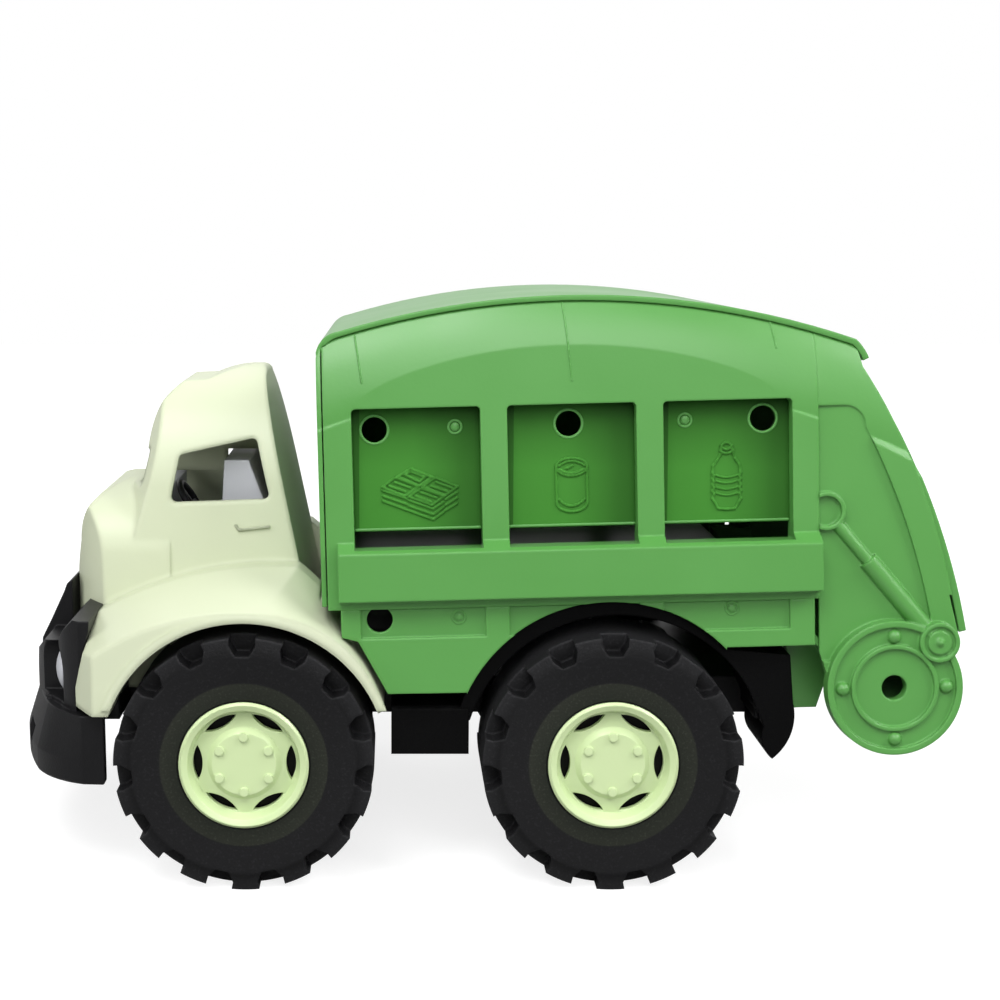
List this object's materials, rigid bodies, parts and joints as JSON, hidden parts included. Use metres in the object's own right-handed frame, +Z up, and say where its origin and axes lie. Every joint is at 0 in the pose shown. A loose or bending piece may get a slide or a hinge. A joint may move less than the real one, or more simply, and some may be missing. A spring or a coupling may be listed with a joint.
{
  "type": "toy refuse truck",
  "caption": "Moulded toy refuse truck with a green cab, a tipping bed with sorting bays and slots, a rear gate, and large black lugged wheels.",
  "frame": {"origin": "on the floor, at the middle of the truck's length and width", "axes": "+X towards the cab, +Y the truck's left side, +Z up"},
  "size_m": [0.298, 0.1604, 0.18],
  "materials": {
    "cab_green": "smooth moulded plastic, satin",
    "bed_green": "smooth moulded plastic, satin",
    "rim_green": "smooth moulded plastic, satin",
    "black_plastic": "fine-grained moulded plastic",
    "grey_plastic": "smooth moulded plastic",
    "tyre": "moulded black plastic with coarse lugs",
    "steel": "bright drawn wire rod"
  },
  "bodies": {
    "chassis": {"chassis_frame": "black_plastic", "cab_shell": "cab_green", "grille_bumper": "black_plastic", "headlamps": "grey_plastic", "seat_and_dash": "grey_plastic", "steering_wheel": "black_plastic", "front_axle": "steel", "rear_axle": "steel", "side_step_left": "black_plastic", "side_step_right": "black_plastic", "mudguard_left": "black_plastic", "mudguard_right": "black_plastic"},
    "bed": {"bed_cover": "bed_green", "bed_floor": "bed_green", "bed_side_left": "bed_green", "bed_side_right": "bed_green", "bed_skirt_left": "bed_green", "bed_skirt_right": "bed_green", "bay_panels_left": "bed_green", "bay_panels_right": "bed_green", "tail_panel_left": "bed_green", "tail_panel_right": "bed_green"},
    "tailgate": {"tailgate": "bed_green"},
    "wheel_front_left": {"tyre_front_left": "tyre", "rim_front_left": "rim_green"},
    "wheel_front_right": {"tyre_front_right": "tyre", "rim_front_right": "rim_green"},
    "wheel_rear_left": {"tyre_rear_left": "tyre", "rim_rear_left": "rim_green"},
    "wheel_rear_right": {"tyre_rear_right": "tyre", "rim_rear_right": "rim_green"}
  },
  "joints": [
    {"name": "wheel_front_left_spin", "type": "hinge", "parent": "chassis", "child": "wheel_front_left", "pos_m": [0.07064, 0.062, 0.0395], "axis": [0, 1, 0], "continuous": true},
    {"name": "wheel_front_right_spin", "type": "hinge", "parent": "chassis", "child": "wheel_front_right", "pos_m": [0.07064, -0.062, 0.0395], "axis": [0, 1, 0], "continuous": true},
    {"name": "wheel_rear_left_spin", "type": "hinge", "parent": "chassis", "child": "wheel_rear_left", "pos_m": [-0.04106, 0.062, 0.0395], "axis": [0, 1, 0], "continuous": true},
    {"name": "wheel_rear_right_spin", "type": "hinge", "parent": "chassis", "child": "wheel_rear_right", "pos_m": [-0.04106, -0.062, 0.0395], "axis": [0, 1, 0], "continuous": true},
    {"name": "bed_tip", "type": "hinge", "parent": "chassis", "child": "bed", "pos_m": [-0.10256, 0, 0.0545], "axis": [0, -1, 0], "range_deg": [0, 45]},
    {"name": "tailgate_swing", "type": "hinge", "parent": "bed", "child": "tailgate", "pos_m": [-0.11221, 0, 0.15579], "axis": [0, 1, 0], "range_deg": [0, 60]}
  ]
}
